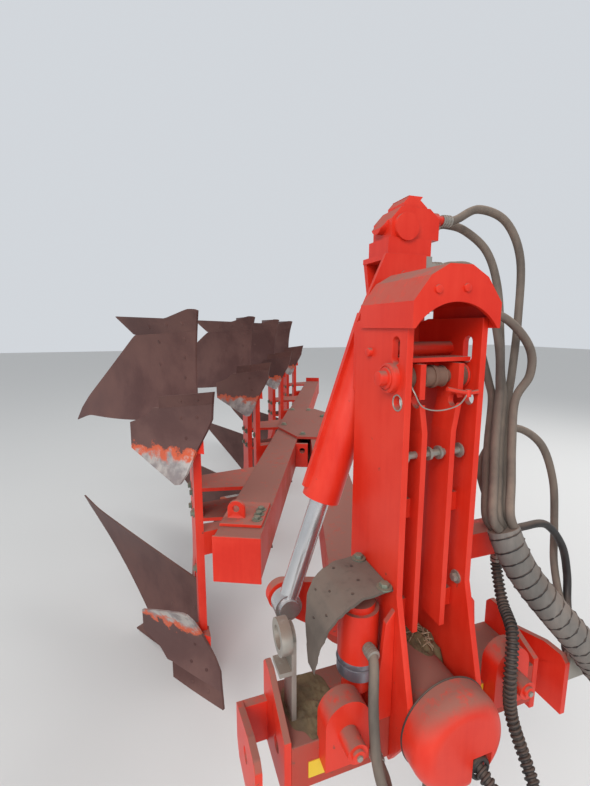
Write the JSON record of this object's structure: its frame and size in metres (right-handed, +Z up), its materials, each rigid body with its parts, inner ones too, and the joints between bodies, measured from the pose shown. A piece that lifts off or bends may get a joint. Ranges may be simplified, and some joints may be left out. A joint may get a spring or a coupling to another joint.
{
  "type": "reversible mounted moldboard plough",
  "caption": "Four-furrow reversible moldboard plough for a three-point linkage, parked on its right-hand bodies, with worn red paint and rusty boards.",
  "frame": {"origin": "on the ground, midway between the lower-link seats, in the line of their pins", "axes": "+X to the driver's left, so the lower bodies throw to -X; +Y backward, away from the tractor; +Z up; metres"},
  "size_m": [2.4474, 5.2796, 1.922],
  "materials": {
    "paint": "satin",
    "worn_steel": "rusty",
    "grey_steel": "matte",
    "zinc": "satin",
    "rubber": "matte",
    "hose": "matte"
  },
  "bodies": {
    "headstock": {"mast_plates": "paint", "mast_ribs": "paint", "mast_hood": "paint", "mast_inner_bars": "paint", "top_link_pin": "zinc", "cylinder_bracket": "paint", "valve_block": "paint", "shaft_housing": "paint", "hub_cap": "paint", "cross_members": "paint", "link_plates": "paint", "stop_ears": "paint", "short_cylinder": "paint", "rubber_flap": "rubber", "catch_bracket": "zinc", "stand_sleeve": "paint", "hose_fittings": "zinc", "side_valve": "paint", "hose_sleeve": "hose", "hose_1": "hose", "hose_2": "hose", "hose_3": "hose", "hose_4": "hose", "hose_5": "hose", "hose_6": "hose", "hose_7": "hose", "hose_8": "hose", "hose_9": "hose"},
    "turnover": {"turnover_shaft": "zinc", "turnover_crank": "paint", "turnover_head": "paint", "beam": "paint", "beam_caps": "paint", "beam_fittings": "paint", "beam_lug": "paint", "skimmer_stems": "paint", "leg_1": "paint", "leg_2": "paint", "leg_3": "paint", "leg_4": "paint", "moldboards_1": "worn_steel", "moldboards_2": "worn_steel", "moldboards_3": "worn_steel", "moldboards_4": "worn_steel", "shares_1": "worn_steel", "shares_2": "worn_steel", "shares_3": "worn_steel", "shares_4": "worn_steel", "landsides_1": "worn_steel", "landsides_2": "worn_steel", "landsides_3": "worn_steel", "landsides_4": "worn_steel", "skimmers_1": "worn_steel", "skimmers_2": "worn_steel", "skimmers_3": "worn_steel", "skimmers_4": "worn_steel"},
    "cylinder_barrel": {"turnover_barrel": "paint"},
    "cylinder_rod": {"turnover_rod": "zinc"},
    "stand": {"parking_stand": "grey_steel"}
  },
  "joints": [
    {"name": "turnover_hinge", "type": "hinge", "parent": "headstock", "child": "turnover", "pos_m": [0, 0.2, 0.85], "axis": [0, 1, 0], "range_deg": [0, 180]},
    {"name": "barrel_swing", "type": "hinge", "parent": "headstock", "child": "cylinder_barrel", "pos_m": [0.033, 0.195, 1.74], "axis": [0, -1, 0], "range_deg": [0, 16.5]},
    {"name": "rod_slide", "type": "slide", "parent": "cylinder_barrel", "child": "cylinder_rod", "axis": [0.3198, 0, 0.9475], "range_m": [0, 0.195]},
    {"name": "stand_slide", "type": "slide", "parent": "headstock", "child": "stand", "axis": [0, 0, 1], "range_m": [0, 0.45]}
  ],
  "couplings": [
    {"joint": "rod_slide", "follows": "barrel_swing", "m_per_rad": 0.667}
  ]
}
